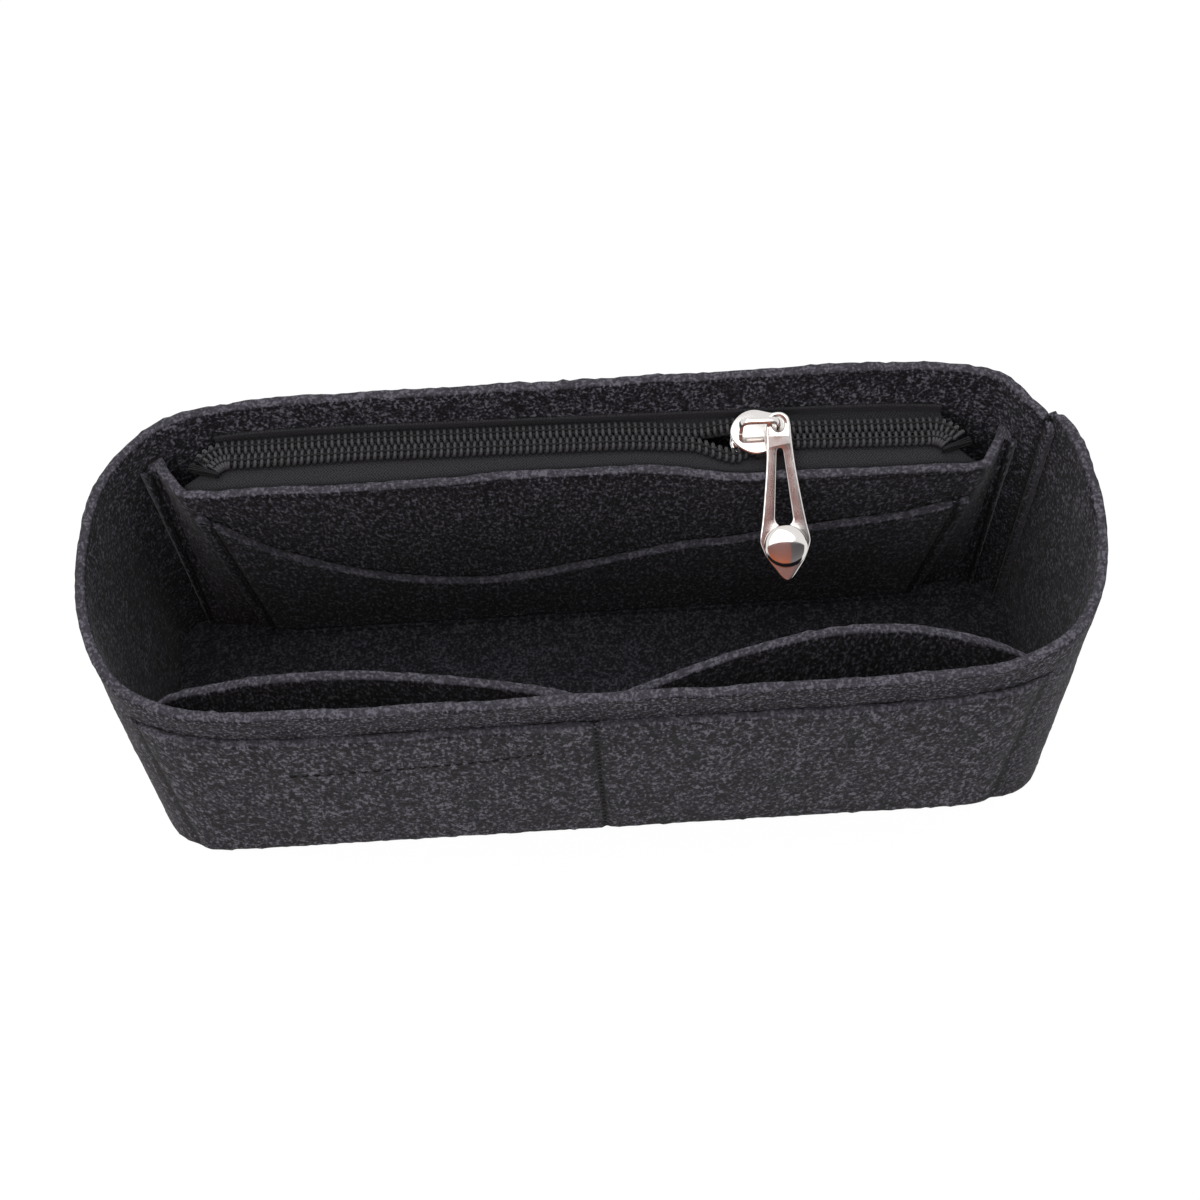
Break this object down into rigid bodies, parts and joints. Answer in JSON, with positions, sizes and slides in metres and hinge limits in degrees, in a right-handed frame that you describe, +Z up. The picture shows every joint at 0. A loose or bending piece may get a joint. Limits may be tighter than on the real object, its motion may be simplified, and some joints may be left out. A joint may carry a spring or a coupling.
{
  "type": "purse organizer insert",
  "caption": "Open felt tub that stands inside a handbag, with a zipped pocket, slip pockets inside and out, and a lapped wall.",
  "frame": {"origin": "middle of the felt wall's foot, on the underside of the base, where the insert stands", "axes": "+X to the right along the long side, seen from the front with the outer pocket; +Y to the back; +Z up"},
  "size_m": [0.2444, 0.0889, 0.095],
  "materials": {
    "wall_felt": "stiff charcoal felt with flecks of grey",
    "pocket_felt": "charcoal felt with paler cut edges",
    "zip_tape": "woven polyester tape, dark grey",
    "zip_coil": "black nylon coil, satin",
    "nickel": "bright nickel plate",
    "thread": "dark polyester sewing thread"
  },
  "bodies": {
    "tub": {"wall_band": "wall_felt", "base_panel": "wall_felt", "outer_pocket_panel": "pocket_felt", "front_inner_pocket": "pocket_felt", "zip_pocket_panel": "pocket_felt", "wave_pocket_panel": "pocket_felt", "zip_tape_back": "zip_tape", "zip_tape_front": "zip_tape", "zip_coil_back": "zip_coil", "zip_coil_front": "zip_coil", "zip_stop_left": "zip_tape", "zip_stop_right": "zip_tape", "lap_thread_outer": "thread", "lap_thread_inner": "thread", "outer_seam_thread_left": "thread", "outer_seam_thread_centre": "thread", "outer_seam_thread_right": "thread", "outer_short_row_thread": "thread", "inner_seam_thread_left": "thread", "inner_seam_thread_centre": "thread", "inner_seam_thread_right": "thread", "tape_thread_back": "thread", "tape_thread_front": "thread", "flange_thread_left": "thread", "flange_thread_right": "thread", "wave_thread_left": "thread", "wave_thread_right": "thread", "base_seam_thread": "thread"},
    "slider": {"slider_body": "nickel", "slider_crown": "nickel"},
    "pull": {"zip_pull": "nickel", "pull_stud": "nickel"}
  },
  "joints": [
    {"name": "slider_travel", "type": "slide", "parent": "tub", "child": "slider", "axis": [0.9996, -0.006, -0.026], "range_m": [-0.122, 0.036], "deforming": ["zip_coil_back", "zip_coil_front", "zip_tape_back", "zip_tape_front"]},
    {"name": "pull_lift", "type": "hinge", "parent": "slider", "child": "pull", "pos_m": [0.04825, 0.03582, 0.08625], "axis": [-0.9996, 0.006, 0.026], "range_deg": [0, 50]}
  ]
}
